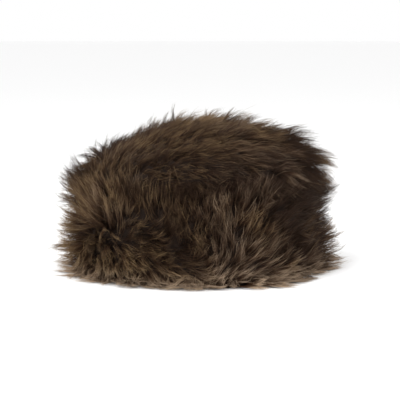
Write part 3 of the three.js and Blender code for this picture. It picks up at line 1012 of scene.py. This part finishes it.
def hairs_of(pelt, tufts, picked, each, look, sizes, rng):
    """Hairs round the curves of the picked tufts: curve(s t) + (root - curve(0)) (1 - hold t^0.8) + loose t
    off the pelt + t wave, where s is the hair's share of the tuft's length and t goes from 0 to 1."""
    which = np.repeat(picked, each)
    count = len(which)
    spread = sizes.tuft_spacing * look["spread"] * np.sqrt(rng.uniform(0, 1, count))
    angle = rng.uniform(0, 2 * np.pi, count)
    own = tufts["roots"][which] + (spread * np.stack([np.cos(angle), np.sin(angle)])).T
    facing = normal_of(pelt, own)
    root = pelt.surface(own, sunk=ROOT_DEPTH)
    t = np.linspace(0, 1, look["rings"] + 1)[None, :]
    share = rng.uniform(*look["share"], (count, 1))
    centres = on_curve(tufts["curves"], which, share * t)
    hold = rng.uniform(*look["hold"], (count, 1))
    offset = (root - tufts["curves"][which, 0])[:, None]
    centres = centres + offset * (1 - hold * t**0.8)[..., None]
    loose = rng.normal(0, look["loose"], (count, 1))
    centres = centres + facing[:, None] * (loose * t)[..., None]
    sway = rng.normal(0, look["wave"], (count, 3))[:, None]
    halves = rng.uniform(*HALF_WAVES, (count, 1))
    phase = rng.uniform(0, 2, (count, 1))
    wave = sway * np.sin(np.pi * (t * halves + phase))[..., None]
    centres = off_floor(centres + wave * t[..., None], sizes.clearance, tufts["rest"][which], rng)
    width = sizes.width * look["width"] * rng.uniform(*WIDTH_CHANCE, count)
    tone = (tufts["tone"][which] + rng.normal(0, TONE_SPREAD, count)) * look["pale"]
    tone = np.clip(tone, 0, TONE_LIMIT)
    tint = rng.uniform(0, 1, count)
    return hair_arrays(centres, facing, width, tone, tint, look["rings"], look["start"])


def add_fur(pelt, part, colours, sizes, seed):
    """The combed hair of one pelt in three sectors, then its guard hair and its listed tufts."""
    rng = np.random.default_rng(seed)
    tufts = tufts_of(pelt, sizes, rng)
    for side, middle in SECTORS.items():
        turned = (tufts["turned"] - middle + 180) % 360 - 180
        picked = np.flatnonzero((turned >= -60) & (turned < 60))
        batches = [
            hairs_of(pelt, tufts, picked, sizes.long_hairs, HAIR["long"], sizes, rng),
            hairs_of(pelt, tufts, picked, sizes.short_hairs, HAIR["short"], sizes, rng),
        ]
        add_hairs(f"{part}_fur_{side}", part, batches, colours)
    picked = np.arange(len(tufts["roots"]))
    batches = [hairs_of(pelt, tufts, picked, HAIR["guard"]["each"], HAIR["guard"], sizes, rng)]
    edge = [(edge_rows(rng), "edge")] if part == "band" else []
    for rows, kind in SINGLES[part] + edge:
        look = HAIR[kind]
        tufts = single_tufts(pelt, rows, look["stiff"], rng)
        picked = np.arange(len(tufts["roots"]))
        batches.append(hairs_of(pelt, tufts, picked, look["each"], look, sizes, rng))
    add_hairs(f"{part}_guard_hair", part, batches, colours)


# Points round a skin. The underfur's lumps, in metres and in radians for each metre. Its least height over
# the floor, and the least that its form is worked out for. Where its back lies in the hide, as a share. The
# gap over the seam under the crown.
SKIN_COLUMNS = 120
LUMP_HEIGHT = 0.0012
LUMP_TURNS = 900
SKIN_LOWEST = 0.0003
FORM_LOWEST = 0.0004
BACK_SHARE = 0.8
CROWN_GAP = 0.0003


def grid_faces(columns, rows, closed):
    """Quads of a grid of points by row, whose columns close on themselves. Where closed, the rows do too."""
    last = rows if closed else rows - 1
    row, column = np.meshgrid(np.arange(last), np.arange(columns), indexing="ij")
    after = (column + 1) % columns
    over = (row + 1) % rows
    here = row * columns
    there = over * columns
    return np.stack([here + column, here + after, there + after, there + column], -1).reshape(-1, 4)


def felted(pelt, q):
    """The outside of the underfur with felted lumps: out by their height times a sum of sines across the
    three directions, from -1 to 1."""
    skin = pelt.surface(q, top=1.0)
    x, y, z = np.moveaxis(skin * LUMP_TURNS, -1, 0)
    lumps = (np.sin(x + 2 * np.sin(z * 0.6)) * np.sin(y * 1.1 + z) + np.sin(z * 1.7 + x * 0.7)) / 2
    return skin + normal_of(pelt, q) * (lumps * LUMP_HEIGHT)[..., None]


def add_skin(name, part, sections, material, capped):
    """A skin through sections of points, each once round the hat. Capped, the first and last are poles, and
    otherwise the last section closes on the first."""
    rows, columns = sections.shape[:2]
    if not capped:
        points = sections.reshape(-1, 3)
        quads = grid_faces(columns, rows, True)
        counts = np.full(len(quads), 4)
        return add_piece(name, part, points, quads.ravel(), counts, material)
    inner = sections[1:-1]
    quads = grid_faces(columns, rows - 2, False) + 1
    last = 1 + inner.shape[0] * columns
    column = np.arange(columns)
    after = (column + 1) % columns
    start = np.stack([np.zeros(columns, int), 1 + after, 1 + column], -1)
    top = last - columns
    end = np.stack([np.full(columns, last), top + column, top + after], -1)
    points = np.concatenate([sections[0, :1], inner.reshape(-1, 3), sections[-1, :1]])
    corners = np.concatenate([start.ravel(), quads.ravel(), end.ravel()])
    counts = np.concatenate([np.full(columns, 3), np.full(len(quads), 4), np.full(columns, 3)])
    return add_piece(name, part, points, corners, counts, material)


def add_skins(part, hide, underfur, colours, capped):
    """A pelt's hide and underfur, each through its sections of points."""
    add_skin(f"{part}_hide", part, hide, finish_of("napped_hide", hide_finish, colours), capped)
    add_skin(f"{part}_underfur", part, underfur, finish_of("underfur", underfur_finish, colours), capped)


def flat_rows(values):
    """A grid of places: every value by every angle round the hat."""
    around = np.linspace(-np.pi, np.pi, SKIN_COLUMNS, endpoint=False)
    return np.meshgrid(np.asarray(values), around, indexing="ij")


def add_band_pelt(sizes, colours):
    """The band's hide, a plain wall round the head, and the underfur on it, up to the seam."""
    pelt = BandPelt(sizes)
    up, around = flat_rows([0, 0.25, 0.5, 0.75, 1])
    inside = oval(around, 1, 0, up * SEAM)
    outside = oval(around, 1, sizes.hide, up * SEAM)[::-1]
    hide = np.concatenate([outside, inside])[::-1]
    up, around = flat_rows(np.linspace(0, 1, 40))
    skin = felted(pelt, np.stack([around * pelt.radius, np.maximum(up * SEAM, FORM_LOWEST)], -1))
    skin[..., 2] = np.maximum(skin[..., 2], SKIN_LOWEST)
    up, around = flat_rows([1, 0.5, 0.005])
    back = oval(around, 1, sizes.hide * BACK_SHARE, up * SEAM)
    add_skins("band", hide, np.concatenate([skin, back]), colours, capped=False)


def dome(share, around, thick):
    """A point of the crown's hide, thick over its inside. Its height is the outline's rise, more of it to
    the right by the sine of the angle. The thickness goes outwards by the share's cube, and upwards by 1
    less its fourth power."""
    rise = np.interp(share, CROWN_OUTLINE["across"], CROWN_OUTLINE["rise"])
    z = SEAM + CROWN_GAP + CROWN_RISE * (1 + CROWN_LEAN * share * np.sin(around)) * rise
    return oval(around, share, thick * share**3, z + thick * (1 - share**4))


def add_crown_pelt(sizes, colours):
    """The crown's hide, a dome over the head, and the underfur on it."""
    pelt = CrownPelt(sizes)
    steps = np.concatenate([CROWN_OUTLINE["across"], np.linspace(0, 1, 20)])
    share, around = flat_rows(np.unique(steps))
    inside = dome(share, around, 0)
    outside = dome(share, around, sizes.hide)
    hide = np.concatenate([outside, inside[::-1]])
    reach, around = flat_rows(np.linspace(0, pelt.rim, 50))
    skin = felted(pelt, np.stack([reach * np.sin(around), -reach * np.cos(around)], -1))
    skin[0] = skin[0].mean(0)
    share, around = flat_rows(np.linspace(0, 1, 25))
    back = dome(share, around, sizes.hide * BACK_SHARE)
    add_skins("crown", hide, np.concatenate([skin, back[::-1]]), colours, capped=True)


class FURHAT_OT_pelts(bpy.types.Operator):
    """Makes the hide and the underfur of the band and of the crown"""

    bl_idname = "fur_hat.pelts"
    bl_label = "Hide and Underfur"

    def execute(self, context):
        add_band_pelt(context.scene.fur_sizes, context.scene.fur_colours)
        add_crown_pelt(context.scene.fur_sizes, context.scene.fur_colours)
        return {"FINISHED"}


class FURHAT_OT_band_fur(bpy.types.Operator):
    """Grows the band's combed hair and guard hair"""

    bl_idname = "fur_hat.band_fur"
    bl_label = "Band Fur"

    def execute(self, context):
        sizes = context.scene.fur_sizes
        add_fur(BandPelt(sizes), "band", context.scene.fur_colours, sizes, seed=11)
        return {"FINISHED"}


class FURHAT_OT_crown_fur(bpy.types.Operator):
    """Grows the crown's combed hair and guard hair"""

    bl_idname = "fur_hat.crown_fur"
    bl_label = "Crown Fur"

    def execute(self, context):
        sizes = context.scene.fur_sizes
        add_fur(CrownPelt(sizes), "crown", context.scene.fur_colours, sizes, seed=23)
        return {"FINISHED"}


# Where the floor ends, where the lamps are and how wide, and the camera's sensor in millimetres.
FLOOR = 12.0
KEY_PLACE = (-0.7, -1.1, 1.3)
KEY_SIZE = 1.0
FILL_PLACE = (1.2, -0.9, 0.8)
FILL_SIZE = 1.2
SENSOR = 36


def add_light(name, place, target, power, size):
    """A square lamp at place that faces target."""
    lamp = bpy.data.lights.new(name, "AREA")
    lamp.energy = power
    lamp.size = size
    holder = bpy.data.objects.new(name, lamp)
    holder.location = place
    holder.rotation_euler = (Vector(target) - Vector(place)).to_track_quat("-Z", "Y").to_euler()
    bpy.context.scene.collection.objects.link(holder)


class FURHAT_OT_stage(bpy.types.Operator):
    """Sets the floor, the soft studio light and the camera"""

    bl_idname = "fur_hat.stage"
    bl_label = "Floor, Light and Camera"

    def execute(self, context):
        studio = context.scene.fur_studio
        colours = context.scene.fur_colours
        floor = Shader("pale_floor", {"Roughness": 0.9, "Specular IOR Level": 0.1})
        floor.feed("Base Color", colours.floor)
        corners = [(-FLOOR, -FLOOR, 0), (FLOOR, -FLOOR, 0), (FLOOR, FLOOR, 0), (-FLOOR, FLOOR, 0)]
        mesh = bpy.data.meshes.new("floor")
        mesh.from_pydata(corners, [], [(0, 1, 2, 3)])
        mesh.materials.append(floor.material)
        plane = bpy.data.objects.new("floor", mesh)
        context.scene.collection.objects.link(plane)
        middle = Vector((AXIS[0] + studio.aside, AXIS[1], studio.aim))
        add_light("key", KEY_PLACE, middle, studio.key, KEY_SIZE)
        add_light("fill", FILL_PLACE, middle, studio.fill, FILL_SIZE)
        world = bpy.data.worlds.new("sky")
        world.use_nodes = True
        background = world.node_tree.nodes["Background"]
        background.inputs["Color"].default_value = (1, 1, 1, 1)
        background.inputs["Strength"].default_value = studio.sky
        context.scene.world = world
        camera = bpy.data.objects.new("camera", bpy.data.cameras.new("camera"))
        camera.data.lens = studio.lens
        camera.data.sensor_width = SENSOR
        camera.location = (middle.x, middle.y - studio.distance, studio.height)
        camera.rotation_euler = (middle - camera.location).to_track_quat("-Z", "Y").to_euler()
        context.scene.collection.objects.link(camera)
        context.scene.camera = camera
        context.scene.view_settings.view_transform = "Standard"
        return {"FINISHED"}


class FURHAT_PT_sidebar(bpy.types.Panel):
    """Lists what makes the hat"""

    bl_idname = "FURHAT_PT_sidebar"
    bl_label = "Fur Hat"
    bl_space_type = "VIEW_3D"
    bl_region_type = "UI"
    bl_category = "Fur Hat"

    def draw(self, context):
        for operator in OPERATORS:
            self.layout.operator(operator.bl_idname)
        for group, kind in GROUPS.items():
            for name in kind.__annotations__:
                self.layout.prop(getattr(context.scene, group), name)


OPERATORS = (FURHAT_OT_stage, FURHAT_OT_pelts, FURHAT_OT_band_fur, FURHAT_OT_crown_fur)
GROUPS = {"fur_sizes": FurSizes, "fur_colours": FurColours, "fur_studio": StudioSizes}


def register():
    """Registers the classes and gives the scene their properties."""
    for kind in (*GROUPS.values(), *OPERATORS, FURHAT_PT_sidebar):
        bpy.utils.register_class(kind)
    for name, kind in GROUPS.items():
        setattr(bpy.types.Scene, name, PointerProperty(type=kind))


def unregister():
    """Takes back what register did."""
    for name in GROUPS:
        delattr(bpy.types.Scene, name)
    for kind in (FURHAT_PT_sidebar, *OPERATORS[::-1], *list(GROUPS.values())[::-1]):
        bpy.utils.unregister_class(kind)


def main():
    """Makes the hat and its stage."""
    register()
    bpy.ops.fur_hat.stage()
    bpy.ops.fur_hat.pelts()
    bpy.ops.fur_hat.band_fur()
    bpy.ops.fur_hat.crown_fur()


if __name__ == "__main__":
    main()
